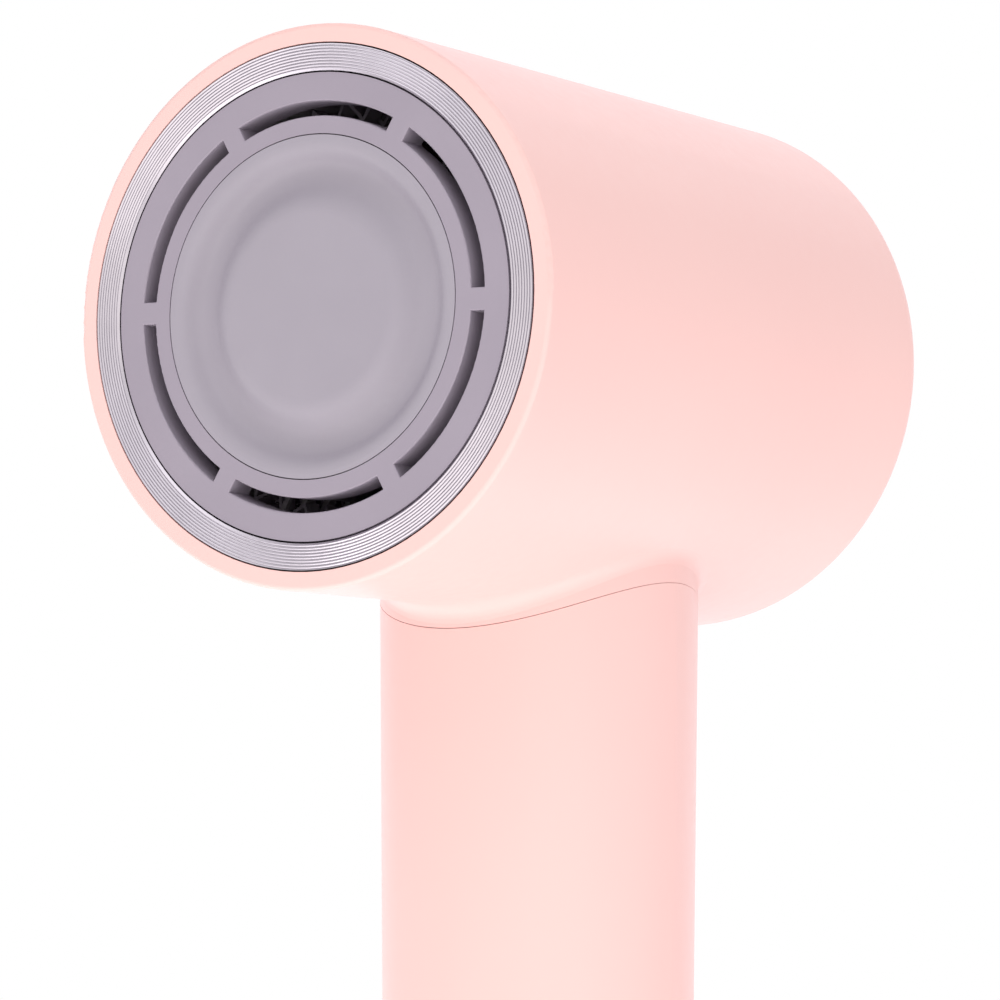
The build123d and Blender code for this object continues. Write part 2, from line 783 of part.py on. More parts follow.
# Intake frame: a collar inside the handle's spigot, posts down to the base plate, and a hub for the cord gland
with BuildPart() as intake_frame:
    revolve(
        outline(
            HANDLE,
            (frame_in, SPIGOT_LOW_Z),
            (frame_r, SPIGOT_LOW_Z),
            (frame_r, stack_z),
            (frame_in, stack_z),
        ),
        axis=Axis.Z,
    )
    with BuildSketch(Plane.XY.offset(BASE_T)):
        with PolarLocations((frame_in + frame_r) / 2, FRAME_POSTS, 180 / FRAME_POSTS):
            Rectangle(FRAME_POST_T, FRAME_POST_W)
    extrude(amount=SPIGOT_LOW_Z - BASE_T + FRAME_WALL)
    with BuildSketch():
        Circle(spigot_r)
    extrude(amount=BASE_T)
    base_edges = intake_frame.edges().filter_by(GeomType.CIRCLE).group_by(Axis.Z)[0]
    chamfer(base_edges, BASE_CHAMFER)
    with BuildSketch(Plane.XY.offset(BASE_T)):
        Circle(HUB_R)
    extrude(amount=HUB_H - BASE_T)
    with BuildSketch():
        Circle(GLAND_BORE_R + GLAND_WALL + PRESS_GAP)
    extrude(amount=HUB_H, mode=Mode.SUBTRACT)
    for turn in screw_turns:
        with BuildSketch(frame_screw_plane(turn, frame_r + FIT_GAP)):
            Circle(FRAME_SCREW_R + PRESS_GAP)
        extrude(amount=-FRAME_WALL, mode=Mode.SUBTRACT)

# Frame screws: three small ones, set flush into the spigot and hidden by the intake cover
with BuildPart() as frame_screws:
    for turn in screw_turns:
        with BuildSketch(frame_screw_plane(turn, spigot_r)):
            Circle(FRAME_SCREW_HEAD_R)
        extrude(amount=-FRAME_SCREW_HEAD_H)
        with BuildSketch(frame_screw_plane(turn, spigot_r - FRAME_SCREW_HEAD_H)):
            Circle(FRAME_SCREW_R)
        extrude(amount=FRAME_SCREW_HEAD_H - SPIGOT_WALL - FRAME_WALL)

# Cord gland: a soft bush in the base plate's hub, held by its head
with BuildPart() as cord_gland:
    revolve(
        outline(
            HANDLE,
            (GLAND_BORE_R, GLAND_SINK),
            (GLAND_BORE_R + GLAND_WALL, GLAND_SINK),
            (GLAND_BORE_R + GLAND_WALL, HUB_H),
            (GLAND_HEAD_R, HUB_H),
            (GLAND_HEAD_R, HUB_H + GLAND_WALL),
            (GLAND_BORE_R + GLAND_WALL, GLAND_L),
            (GLAND_BORE_R, GLAND_L),
        ),
        axis=Axis.Z,
    )

# One intake slot, as the cut it leaves
with BuildPart() as intake_slot:
    with BuildSketch(handle_back(spigot_r)):
        with Locations((0, INTAKE_MID_Z)):
            SlotOverall(INTAKE_SLOT_L, INTAKE_SLOT_W, 90)
    extrude(amount=handle_r(COVER_TOP_Z) - spigot_r + INTAKE_WALL)

# Intake cover: the slotted sleeve that pulls down off the handle, flush with it, and its filter mesh
with BuildPart() as intake_cover:
    revolve(
        outline(
            HANDLE,
            (intake_in, FOOT_GAP),
            (handle_r(FOOT_GAP), FOOT_GAP),
            (handle_r(COVER_TOP_Z), COVER_TOP_Z),
            (handle_r(COVER_TOP_Z) - INTAKE_WALL, COVER_TOP_Z),
        ),
        axis=Axis.Z,
    )
    foot_edge = intake_cover.edges().filter_by(GeomType.CIRCLE).group_by(Axis.Z)[0].sort_by(SortBy.RADIUS)[-1]
    fillet(foot_edge, FOOT_EDGE_R)
    with PolarLocations(0, INTAKE_SLOTS):
        add(intake_slot.part, mode=Mode.SUBTRACT)

with BuildPart() as filter_mesh:
    revolve(
        outline(
            HANDLE,
            (mesh_in, FOOT_GAP + INTAKE_WALL),
            (mesh_in + MESH_T, FOOT_GAP + INTAKE_WALL),
            (mesh_in + MESH_T + taper * COVER_TOP_Z, COVER_TOP_Z - INTAKE_WALL),
            (mesh_in + taper * COVER_TOP_Z, COVER_TOP_Z - INTAKE_WALL),
        ),
        axis=Axis.Z,
    )

# Dampers: soft rings that carry the motor in the handle
with BuildPart() as damper_lower:
    revolve(
        outline(
            HANDLE,
            (MOTOR_R - DAMPER_LIP_W, stack_z),
            (handle_in(stack_z) - FIT_GAP, stack_z),
            (handle_in(stack_z) - FIT_GAP, stack_z + DAMPER_L),
            (MOTOR_R, stack_z + DAMPER_L),
            (MOTOR_R, motor_z),
            (MOTOR_R - DAMPER_LIP_W, motor_z),
        ),
        axis=Axis.Z,
    )

with BuildPart() as damper_upper:
    revolve(
        outline(
            HANDLE,
            (MOTOR_R - DAMPER_LIP_W, chassis_z),
            (handle_in(chassis_z - DAMPER_L) - FIT_GAP, chassis_z),
            (handle_in(chassis_z - DAMPER_L) - FIT_GAP, chassis_z - DAMPER_L),
            (MOTOR_R, chassis_z - DAMPER_L),
            (MOTOR_R, motor_top),
            (MOTOR_R - DAMPER_LIP_W, motor_top),
        ),
        axis=Axis.Z,
    )

# Motor housing: a thin tube with a rounded mouth
with BuildPart() as motor_housing:
    revolve(
        outline(HANDLE, (motor_in, motor_z), (MOTOR_R, motor_z), (MOTOR_R, motor_top), (motor_in, motor_top)),
        axis=Axis.Z,
    )
    mouth = motor_housing.edges().filter_by(GeomType.CIRCLE).group_by(Axis.Z)[0].sort_by(SortBy.RADIUS)[0]
    fillet(mouth, MOTOR_LIP_R)

# One fan blade: a thin section that turns from root to tip
fan_mid = motor_z + FAN_LOW + FAN_H / 2
with BuildPart() as blade:
    with BuildSketch(Plane(origin=(FAN_NOSE_R / 2, 0, fan_mid), x_dir=(0, 1, 0), z_dir=(1, 0, 0))):
        Rectangle(BLADE_ROOT_L, BLADE_T, BLADE_ROOT_AT)
    with BuildSketch(Plane(origin=(MOTOR_R, 0, fan_mid), x_dir=(0, 1, 0), z_dir=(1, 0, 0))):
        Rectangle(BLADE_TIP_L, BLADE_T, BLADE_TIP_AT)
    loft()

# Impeller: thirteen twisted blades on a flared hub, hollow underneath
with BuildPart() as impeller:
    with PolarLocations(0, BLADE_COUNT):
        add(blade.part)
    revolve(
        outline(
            HANDLE,
            (SHAFT_R + PRESS_GAP, motor_z + FAN_LOW),
            (fan_r, motor_z + FAN_LOW),
            (fan_r, motor_z + FAN_LOW + FAN_H),
            (SHAFT_R + PRESS_GAP, motor_z + FAN_LOW + FAN_H),
        ),
        axis=Axis.Z,
        mode=Mode.INTERSECT,
    )
    revolve(
        outline(
            HANDLE,
            (SHAFT_R + PRESS_GAP, motor_z + FAN_LOW),
            (FAN_NOSE_R, motor_z + FAN_LOW),
            (FAN_HUB_R, motor_z + FAN_LOW + FAN_H),
            (SHAFT_R + PRESS_GAP, motor_z + FAN_LOW + FAN_H),
        ),
        axis=Axis.Z,
    )
    revolve(
        outline(
            HANDLE,
            (SHAFT_R + 2 * BLADE_T, motor_z + FAN_LOW + FAN_SKIN_H),
            (FAN_BORE_R, motor_z + FAN_LOW + FAN_SKIN_H),
            (FAN_BORE_R, motor_z + FAN_LOW + FAN_H),
            (SHAFT_R + 2 * BLADE_T, motor_z + FAN_LOW + FAN_H),
        ),
        axis=Axis.Z,
        mode=Mode.SUBTRACT,
    )

# Rotor shaft and magnet, which turn with the impeller
with BuildPart() as rotor_shaft:
    with BuildSketch(Plane.XY.offset(motor_z + SHAFT_LOW)):
        Circle(SHAFT_R)
    extrude(amount=SHAFT_L)
    chamfer(rotor_shaft.edges().filter_by(GeomType.CIRCLE), SHAFT_CHAMFER)

with BuildPart() as rotor_magnet:
    with BuildSketch(Plane.XY.offset(stator_z - MAGNET_OVER)):
        Circle(rotor_r)
        Circle(SHAFT_R + PRESS_GAP, mode=Mode.SUBTRACT)
    extrude(amount=STATOR_H + 2 * MAGNET_OVER)

# One stator vane, set across the air stream
vane_mid = motor_z + VANE_MID
with BuildPart() as vane:
    with BuildSketch(Plane(origin=(sleeve_in, 0, vane_mid), x_dir=(0, 1, 0), z_dir=(1, 0, 0))):
        Rectangle(VANE_L, VANE_T, VANE_AT)
    extrude(amount=MOTOR_R - sleeve_in)

# Diffuser: vanes between the housing and an inner sleeve, which carries the lower bearing on a web
with BuildPart() as diffuser:
    with PolarLocations(0, VANE_COUNT):
        add(vane.part)
    revolve(
        outline(
            HANDLE,
            (sleeve_in, carrier_z),
            (vane_r, carrier_z),
            (vane_r, motor_top),
            (sleeve_in, motor_top),
        ),
        axis=Axis.Z,
        mode=Mode.INTERSECT,
    )
    revolve(
        outline(
            HANDLE,
            (SHAFT_R + BEARING_LIP, carrier_z),
            (sleeve_r, carrier_z),
            (sleeve_r, motor_z + SLEEVE_TOP),
            (sleeve_in, motor_z + SLEEVE_TOP),
            (sleeve_in, carrier_z + CARRIER_T),
            (BEARING_R + CARRIER_HUB_T, carrier_z + CARRIER_T),
            (BEARING_R + CARRIER_HUB_T, carrier_z + BEARING_LIP + BEARING_H),
            (BEARING_R + PRESS_GAP, carrier_z + BEARING_LIP + BEARING_H),
            (BEARING_R + PRESS_GAP, carrier_z + BEARING_LIP),
            (SHAFT_R + BEARING_LIP, carrier_z + BEARING_LIP),
        ),
        axis=Axis.Z,
    )

with BuildPart() as lower_bearing:
    with BuildSketch(Plane.XY.offset(carrier_z + BEARING_LIP)):
        Circle(BEARING_R)
        Circle(SHAFT_R + SPIN_GAP, mode=Mode.SUBTRACT)
    extrude(amount=BEARING_H)
    chamfer(lower_bearing.edges().filter_by(GeomType.CIRCLE).group_by(SortBy.RADIUS)[-1], BEARING_CHAMFER)

# Bearing bracket: the lid of the sleeve, with the upper bearing in its hub
with BuildPart() as bearing_bracket:
    revolve(
        outline(
            HANDLE,
            (SHAFT_R + BEARING_LIP, bracket_z + BRACKET_HUB_H),
            (BEARING_R + CARRIER_HUB_T, bracket_z + BRACKET_HUB_H),
            (BEARING_R + CARRIER_HUB_T, bracket_z + BRACKET_T),
            (stator_r, bracket_z + BRACKET_T),
            (stator_r, bracket_z),
            (BEARING_R + PRESS_GAP, bracket_z),
            (BEARING_R + PRESS_GAP, bracket_z + BRACKET_HUB_H - BEARING_LIP),
            (SHAFT_R + BEARING_LIP, bracket_z + BRACKET_HUB_H - BEARING_LIP),
        ),
        axis=Axis.Z,
    )

with BuildPart() as upper_bearing:
    with BuildSketch(Plane.XY.offset(bracket_z + BRACKET_HUB_H - BEARING_LIP - BEARING_H)):
        Circle(BEARING_R)
        Circle(SHAFT_R + SPIN_GAP, mode=Mode.SUBTRACT)
    extrude(amount=BEARING_H)
    chamfer(upper_bearing.edges().filter_by(GeomType.CIRCLE).group_by(SortBy.RADIUS)[-1], BEARING_CHAMFER)

# Stator: a laminated ring with six teeth, and a coil on each tooth
with BuildPart() as stator_core:
    with BuildSketch(Plane.XY.offset(stator_z)):
        Circle(stator_r)
        Circle(stator_r - STATOR_YOKE_W, mode=Mode.SUBTRACT)
        with PolarLocations((STATOR_BORE_R + stator_r) / 2, STATOR_TEETH):
            Rectangle(stator_r - STATOR_BORE_R - STATOR_YOKE_W / 2, TOOTH_W)
        with PolarLocations(STATOR_BORE_R + TOOTH_TIP_T / 2, STATOR_TEETH):
            Rectangle(TOOTH_TIP_T, TOOTH_TIP_W)
        Circle(STATOR_BORE_R, mode=Mode.SUBTRACT)
    extrude(amount=STATOR_H)

coil_in = STATOR_BORE_R + TOOTH_TIP_T + COIL_IN
coil_out = sqrt((stator_r - STATOR_YOKE_W) ** 2 - (TOOTH_W / 2 + COIL_T) ** 2) - COIL_IN
with BuildPart() as coil:
    with BuildSketch(Plane(origin=(coil_in, 0, stator_z + STATOR_H / 2), x_dir=(0, 1, 0), z_dir=(1, 0, 0))):
        RectangleRounded(TOOTH_W + 2 * COIL_T, STATOR_H + 2 * COIL_END, COIL_T)
        Rectangle(TOOTH_W + 2 * PRESS_GAP, STATOR_H + 2 * PRESS_GAP, mode=Mode.SUBTRACT)
    extrude(amount=coil_out - coil_in)

with BuildPart() as stator_coils:
    with PolarLocations(0, STATOR_TEETH):
        add(coil.part)

# Motor board: a small ring on the bracket
with BuildPart() as motor_board:
    with BuildSketch(Plane.XY.offset(bracket_z + BRACKET_T)):
        Circle(stator_r)
        Circle(BEARING_R + CARRIER_HUB_T + FIT_GAP, mode=Mode.SUBTRACT)
    extrude(amount=MOTOR_BOARD_T)

# Chassis: two rings on side posts, grooved for the boards, between the motor and the neck
with BuildPart() as chassis:
    for low in (chassis_z, neck_z - CHASSIS_RING_H):
        with BuildSketch(Plane.XY.offset(low)):
            Circle(handle_in(low) - FIT_GAP)
            Circle(POST_IN_R - CHASSIS_LIP, mode=Mode.SUBTRACT)
        extrude(amount=CHASSIS_RING_H)
    with BuildSketch(Plane.XY.offset(chassis_z)):
        Circle(handle_in(chassis_z) - FIT_GAP)
        Circle(POST_IN_R, mode=Mode.SUBTRACT)
        Rectangle(2 * HANDLE_TOP_R, 2 * POST_REACH, mode=Mode.INTERSECT)
    extrude(amount=neck_z - chassis_z)
    with BuildSketch(Plane.XY.offset(board_low)):
        with Locations((0, DRIVER_Y - DRIVER_T / 2)):
            Rectangle(DRIVER_W + 2 * GROOVE_GAP, DRIVER_T + 2 * GROOVE_GAP)
        with Locations((0, CONTROL_Y + CONTROL_T / 2)):
            Rectangle(CONTROL_W + 2 * GROOVE_GAP, CONTROL_T + 2 * GROOVE_GAP)
    extrude(amount=neck_z - board_low, mode=Mode.SUBTRACT)

# Driver board, with its capacitor, choke, power chip and heat sink
driver_face = Plane(origin=(0, DRIVER_Y - DRIVER_T, board_low), x_dir=(1, 0, 0), z_dir=(0, -1, 0))
with BuildPart() as driver_board:
    with BuildSketch(driver_face):
        with Locations((0, (board_top - board_low) / 2)):
            Rectangle(DRIVER_W, board_top - board_low)
    extrude(amount=-DRIVER_T)

with BuildPart() as power_capacitor:
    with BuildSketch(Plane.XY.offset(board_low + CAPACITOR_RISE - CAPACITOR_L / 2)):
        with Locations((0, DRIVER_Y - DRIVER_T - CAPACITOR_R - PRESS_GAP)):
            Circle(CAPACITOR_R)
    extrude(amount=CAPACITOR_L)
    chamfer(power_capacitor.edges().filter_by(GeomType.CIRCLE), CAPACITOR_CRIMP)

with BuildPart() as choke:
    with BuildSketch(driver_face):
        with Locations((0, CHOKE_RISE)):
            Circle(CHOKE_R)
    extrude(amount=CHOKE_FLANGE)
    with BuildSketch(driver_face):
        with Locations((0, CHOKE_RISE)):
            Circle(CHOKE_R - CHOKE_WAIST)
    extrude(amount=CHOKE_H)
    with BuildSketch(driver_face.offset(CHOKE_H - CHOKE_FLANGE)):
        with Locations((0, CHOKE_RISE)):
            Circle(CHOKE_R)
    extrude(amount=CHOKE_FLANGE)

with BuildPart() as power_chip:
    with BuildSketch(driver_face):
        with Locations((0, SINK_RISE)):
            Rectangle(CHIP_W, CHIP_H)
    extrude(amount=CHIP_T)

with BuildPart() as heat_sink:
    with BuildSketch(driver_face.offset(CHIP_T)):
        with Locations((0, SINK_RISE)):
            Rectangle(SINK_W, SINK_H)
    extrude(amount=SINK_BASE)
    with BuildSketch(driver_face.offset(CHIP_T + SINK_BASE)):
        with Locations((0, SINK_RISE)):
            with GridLocations((SINK_W - SINK_FIN_T) / (SINK_FINS - 1), 0, SINK_FINS, 1):
                Rectangle(SINK_FIN_T, SINK_H)
    extrude(amount=SINK_FIN_H)

# Control board, with the slide switch and the push switch
control_face = handle_back(CONTROL_Y + CONTROL_T)
with BuildPart() as control_board:
    with BuildSketch(control_face):
        with Locations((0, chassis_z + CONTROL_LOW + CONTROL_L / 2)):
            Rectangle(CONTROL_W, CONTROL_L)
    extrude(amount=-CONTROL_T)

with BuildPart() as slide_switch:
    with BuildSketch(control_face):
        with Locations((0, slot_mid)):
            Rectangle(SWITCH_W, SWITCH_L)
    extrude(amount=SWITCH_H)
    with BuildSketch(control_face.offset(SWITCH_H)):
        with Locations((0, slot_mid)):
            Rectangle(LEVER_W + 2 * RUN_GAP, LEVER_H + SLIDER_TRAVEL + 2 * RUN_GAP)
    extrude(amount=-SWITCH_WELL, mode=Mode.SUBTRACT)

with BuildPart() as push_switch:
    with BuildSketch(control_face):
        with Locations((0, button_z)):
            Rectangle(TACT_W, TACT_W)
    extrude(amount=TACT_H)
    with BuildSketch(control_face.offset(TACT_H)):
        with Locations((0, button_z)):
            Circle(TACT_PIN_R)
    extrude(amount=TACT_PIN_H)

# Speed slider: a ridged knob through the handle's slot, on a foot that keeps the slot covered from inside
foot_l = KNOB_L + 2 * (SLIDER_TRAVEL + FOOT_EXTRA)
foot_top = sqrt(handle_in(slider_z - foot_l / 2) ** 2 - FOOT_W**2 / 4) - RUN_GAP
knob_top = handle_r(slider_z) + KNOB_PROUD
with BuildPart() as speed_slider:
    with BuildSketch(handle_back(foot_top - FOOT_T)):
        with Locations((0, slider_z)):
            SlotOverall(KNOB_L, KNOB_W, 90)
    extrude(amount=2 * HANDLE_WALL + 2 * KNOB_PROUD + FOOT_T)
    revolve(
        outline(
            HANDLE,
            (0, slider_z - KNOB_L),
            (handle_r(slider_z - KNOB_L) + KNOB_PROUD, slider_z - KNOB_L),
            (handle_r(slider_z + KNOB_L) + KNOB_PROUD, slider_z + KNOB_L),
            (0, slider_z + KNOB_L),
        ),
        axis=Axis.Z,
        mode=Mode.INTERSECT,
    )
    with BuildSketch(handle_back(knob_top - KNOB_RIDGE_D)):
        with Locations((0, slider_z)):
            with GridLocations(0, KNOB_RIDGE_PITCH, 1, KNOB_RIDGES):
                Rectangle(2 * KNOB_W, KNOB_RIDGE_W)
    extrude(amount=KNOB_PROUD, mode=Mode.SUBTRACT)
    with BuildSketch(handle_back(foot_top - FOOT_T)):
        with Locations((0, slider_z)):
            RectangleRounded(FOOT_W, foot_l, FOOT_T)
    extrude(amount=FOOT_T)

# Switch lever: the slide switch's own tongue, which moves with the slider
with BuildPart() as switch_lever:
    with BuildSketch(handle_back(foot_top - FOOT_T)):
        with Locations((0, slider_z)):
            Rectangle(LEVER_W, LEVER_H)
    extrude(amount=CONTROL_Y + CONTROL_T + SWITCH_H - LEVER_IN - foot_top + FOOT_T)

# Heat button: a dished round cap with a flange inside the handle and a stem over the push switch
flange_r = BUTTON_R + BUTTON_FLANGE_W
flange_top = sqrt(handle_in(button_z - flange_r) ** 2 - flange_r**2) - RUN_GAP
button_top = handle_r(button_z) + BUTTON_PROUD
stem_low = CONTROL_Y + CONTROL_T + TACT_H + TACT_PIN_H + BUTTON_TRAVEL + RUN_GAP
with BuildPart() as heat_button:
    with BuildSketch(handle_back(flange_top - BUTTON_FLANGE_T)):
        with Locations((0, button_z)):
            Circle(BUTTON_R)
    extrude(amount=button_top - flange_top + BUTTON_FLANGE_T)
    button_edge = heat_button.edges().filter_by(GeomType.CIRCLE).sort_by(Axis.Y)[-1]
    fillet(button_edge, BUTTON_EDGE_R)
    with Locations((0, button_top + BUTTON_DISH_R - BUTTON_DISH_D, button_z)):
        Sphere(BUTTON_DISH_R, mode=Mode.SUBTRACT)
    with BuildSketch(handle_back(flange_top - BUTTON_FLANGE_T)):
        with Locations((0, button_z)):
            Circle(flange_r)
    extrude(amount=BUTTON_FLANGE_T)
    with BuildSketch(handle_back(stem_low)):
        with Locations((0, button_z)):
            Circle(BUTTON_STEM_R)
    extrude(amount=flange_top - stem_low)

# Every node's file
nodes = {
    "barrel_shell": barrel_shell,
    "rear_cover": rear_cover,
    "trim_ring": trim_ring,
    "magnet_ring": magnet_ring,
    "outlet_grille": outlet_grille,
    "centre_cap": centre_cap,
    "outlet_liner": outlet_liner,
    "flow_core": flow_core,
    "heat_shield": heat_shield,
    "heater_fins": heater_fins,
    "heater_ribbons": heater_ribbons,
    "thermostat": thermostat,
    "thermal_fuse": thermal_fuse,
    "temperature_sensor": temperature_sensor,
    "air_deflector": air_deflector,
    "neck_duct": neck_duct,
    "neck_screws": neck_screws,
    "handle_shell": handle_shell,
    "intake_frame": intake_frame,
    "frame_screws": frame_screws,
    "cord_gland": cord_gland,
    "intake_cover": intake_cover,
    "filter_mesh": filter_mesh,
    "damper_lower": damper_lower,
    "damper_upper": damper_upper,
    "motor_housing": motor_housing,
    "impeller": impeller,
    "rotor_shaft": rotor_shaft,
    "rotor_magnet": rotor_magnet,
    "diffuser": diffuser,
    "lower_bearing": lower_bearing,
    "bearing_bracket": bearing_bracket,
    "upper_bearing": upper_bearing,
    "stator_core": stator_core,
    "stator_coils": stator_coils,
    "motor_board": motor_board,
    "chassis": chassis,
    "driver_board": driver_board,
    "power_capacitor": power_capacitor,
    "choke": choke,
    "power_chip": power_chip,
    "heat_sink": heat_sink,
    "control_board": control_board,
    "slide_switch": slide_switch,
    "push_switch": push_switch,
    "speed_slider": speed_slider,
    "switch_lever": switch_lever,
    "heat_button": heat_button,
}
for name, builder in nodes.items():
    builder.part.label = name
    export_step(builder.part, f"parts/{name}.step")
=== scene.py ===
"""A pink hair dryer standing on its handle: finishes, pale floor, soft studio light and camera."""

import math

import bpy
from mathutils import Matrix, Vector


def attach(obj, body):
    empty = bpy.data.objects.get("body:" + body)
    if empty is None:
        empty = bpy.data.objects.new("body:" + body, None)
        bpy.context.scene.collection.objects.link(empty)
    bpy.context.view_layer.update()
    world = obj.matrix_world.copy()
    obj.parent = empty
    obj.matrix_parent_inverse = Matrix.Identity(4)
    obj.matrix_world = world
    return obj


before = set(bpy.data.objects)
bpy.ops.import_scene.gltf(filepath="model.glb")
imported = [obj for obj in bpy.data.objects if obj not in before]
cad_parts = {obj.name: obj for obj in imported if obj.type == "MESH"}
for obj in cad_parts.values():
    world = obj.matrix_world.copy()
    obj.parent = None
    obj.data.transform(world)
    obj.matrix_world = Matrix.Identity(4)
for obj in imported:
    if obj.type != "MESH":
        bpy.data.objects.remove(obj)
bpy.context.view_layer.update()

# Small lengths, in metres
MM = 1e-3
MICRON = 1e-6

# Barrel axis: along Y at this height
AXIS_Z = 0.230

# Camera: the point it looks at, its bearing, and its focal length and frame width in millimetres
AIM = Vector((-0.006165, 0.0, 0.210075))
CAMERA_AZ = math.radians(32.49)
CAMERA_EL = math.radians(-4.52)
CAMERA_ROLL = 0.0035
CAMERA_DISTANCE = 0.61067
CAMERA_LENS = 165.74
CAMERA_FRAME = 36.0
CAMERA_NEAR = 0.01

# Floor: solid out to the inner radius, then thinning out to nothing at its edge
FLOOR_R = 1.3
FLOOR_SOLID_R = 0.2
FLOOR_SIDES = 96

# Light: the tent's strength and the soft boxes' colours
TENT_STRENGTH = 0.71
WHITE = (1.0, 1.0, 1.0)
WARM_WHITE = (1.0, 0.97, 0.90)
PINK_WHITE = (1.0, 0.90, 1.0)

# Filter cloth: wires round the handle, and their phase in radians to a metre up it
WIRES_ROUND = 150.0
WIRES_UP = 9000.0


# Node helpers: every texture is placed in the object's own space, in metres
class Finish:
    """One material, rebuilt on the slot's own name."""

    def __init__(self, slot):
        self.material = bpy.data.materials.get(slot) or bpy.data.materials.new(slot)
        self.material.use_nodes = True
        self.tree = self.material.node_tree
        self.tree.nodes.clear()
        self.shader = self.tree.nodes.new("ShaderNodeBsdfPrincipled")
        output = self.tree.nodes.new("ShaderNodeOutputMaterial")
        self.link(self.shader.outputs["BSDF"], output.inputs["Surface"])
        self.space = self.tree.nodes.new("ShaderNodeTexCoord").outputs["Object"]

    def link(self, source, target):
        self.tree.links.new(source, target)

    def set(self, **sockets):
        """Constant values on the shader's own sockets."""
        for name, value in sockets.items():
            self.shader.inputs[name.replace("_", " ")].default_value = value

    def drive(self, name, source):
        self.link(source, self.shader.inputs[name])

    def noise(self, size, detail=2.0):
        """Soft noise whose blots are about that wide."""
        node = self.tree.nodes.new("ShaderNodeTexNoise")
        node.inputs["Scale"].default_value = 1.0 / size
        node.inputs["Detail"].default_value = detail
        self.link(self.space, node.inputs["Vector"])
        return node.outputs["Fac"]

    def line_noise(self, source, size):
        """Noise along one measure, such as a radius."""
        node = self.tree.nodes.new("ShaderNodeTexNoise")
        node.noise_dimensions = "1D"
        node.inputs["Scale"].default_value = 1.0 / size
        self.link(source, node.inputs["W"])
        return node.outputs["Fac"]

    def bands(self, pitch):
        """Waves up Z, one to a pitch: the node repeats every pi / (10 x scale)."""
        node = self.tree.nodes.new("ShaderNodeTexWave")
        node.bands_direction = "Z"
        node.inputs["Scale"].default_value = math.pi / (10.0 * pitch)
        self.link(self.space, node.inputs["Vector"])
        return node.outputs["Fac"]

    def distance_from_axis(self, origin, scale):
        """Distance from a line: the axis whose scale is zero, through the origin given."""
        placed = self.tree.nodes.new("ShaderNodeMapping")
        placed.vector_type = "POINT"
        placed.inputs["Location"].default_value = [-o * s for o, s in zip(origin, scale)]
        placed.inputs["Scale"].default_value = scale
        self.link(self.space, placed.inputs["Vector"])
        length = self.tree.nodes.new("ShaderNodeVectorMath")
        length.operation = "LENGTH"
        self.link(placed.outputs["Vector"], length.inputs[0])
        return length.outputs["Value"]

    def operate(self, operation, *values):
        """Arithmetic on patterns and numbers."""
        node = self.tree.nodes.new("ShaderNodeMath")
        node.operation = operation
        for socket, value in zip(node.inputs, values):
            if isinstance(value, float):
                socket.default_value = value
            else:
                self.link(value, socket)
        return node.outputs["Value"]

    def spread(self, source, low, high, start=0.3, end=0.7):
        """Takes a pattern's start to end, by default where most noise lies, onto low to high."""
        node = self.tree.nodes.new("ShaderNodeMapRange")
        node.inputs["From Min"].default_value = start
        node.inputs["From Max"].default_value = end
        node.inputs["To Min"].default_value = low
        node.inputs["To Max"].default_value = high
        self.link(source, node.inputs["Value"])
        return node.outputs["Result"]

    def tint(self, source, dark, light):
        """Colour that goes from dark to light with a pattern."""
        node = self.tree.nodes.new("ShaderNodeMix")
        node.data_type = "RGBA"
        colours = [s for s in node.inputs if s.type == "RGBA"]
        colours[0].default_value = (*dark, 1.0)
        colours[1].default_value = (*light, 1.0)
        self.link(source, node.inputs["Factor"])
        self.drive("Base Color", next(s for s in node.outputs if s.type == "RGBA"))

    def mottle(self, size, dark, light):
        """Colour between two shades, in soft blots about that wide."""
        self.tint(self.spread(self.noise(size), 0.0, 1.0), dark, light)

    def roughen(self, size, rough, detail=2.0):
        """Roughness over a range, in blots about that wide."""
        self.drive("Roughness", self.spread(self.noise(size, detail), *rough))

    def flat_normal(self):
        """Each face's own normal, in place of the one smoothed over its neighbours."""
        return self.tree.nodes.new("ShaderNodeNewGeometry").outputs["True Normal"]

    def bump(self, *reliefs, normal=None):
        """Relief from patterns, each with its height in metres."""
        for source, height in reliefs:
            node = self.tree.nodes.new("ShaderNodeBump")
            node.inputs["Distance"].default_value = height
            self.link(source, node.inputs["Height"])
            if normal:
                self.link(normal, node.inputs["Normal"])
            normal = node.outputs["Normal"]
        self.drive("Normal", normal)


def pink_satin(slot, flat=False):
    """Sprayed satin lacquer with a faint orange peel; flat shades each face by its own normal."""
    f = Finish(slot)
    f.mottle(45 * MM, dark=(0.875, 0.549, 0.525), light=(0.888, 0.566, 0.539))
    f.roughen(1.6 * MM, rough=(0.37, 0.45), detail=3.0)
    peel = (f.noise(0.9 * MM, detail=1.0), 1.2 * MICRON)
    grain = (f.noise(0.18 * MM, detail=1.0), 0.6 * MICRON)
    f.set(IOR=1.46, Coat_Weight=0.15, Coat_Roughness=0.22)
    if flat:
        f.material.cycles.use_bump_map_correction = False
        f.drive("Coat Normal", f.flat_normal())
        f.bump(peel, grain, normal=f.flat_normal())
    else:
        f.bump(peel, grain)
    return f.material


def turned_aluminium(slot):
    """Bright metal turned on a lathe: fine tool marks round the barrel axis."""
    f = Finish(slot)
    radius = f.distance_from_axis(origin=(0, 0, AXIS_Z), scale=(1, 0, 1))
    marks = f.line_noise(radius, 0.06 * MM)
    f.mottle(4 * MM, dark=(0.525, 0.484, 0.538), light=(0.560, 0.516, 0.573))
    f.drive("Roughness", f.spread(marks, 0.26, 0.33))
    f.bump((marks, 0.4 * MICRON))
    tangent = f.tree.nodes.new("ShaderNodeTangent")
    tangent.direction_type = "RADIAL"
    tangent.axis = "Y"
    f.drive("Tangent", tangent.outputs["Tangent"])
    f.set(Metallic=1.0, Anisotropic=0.2)


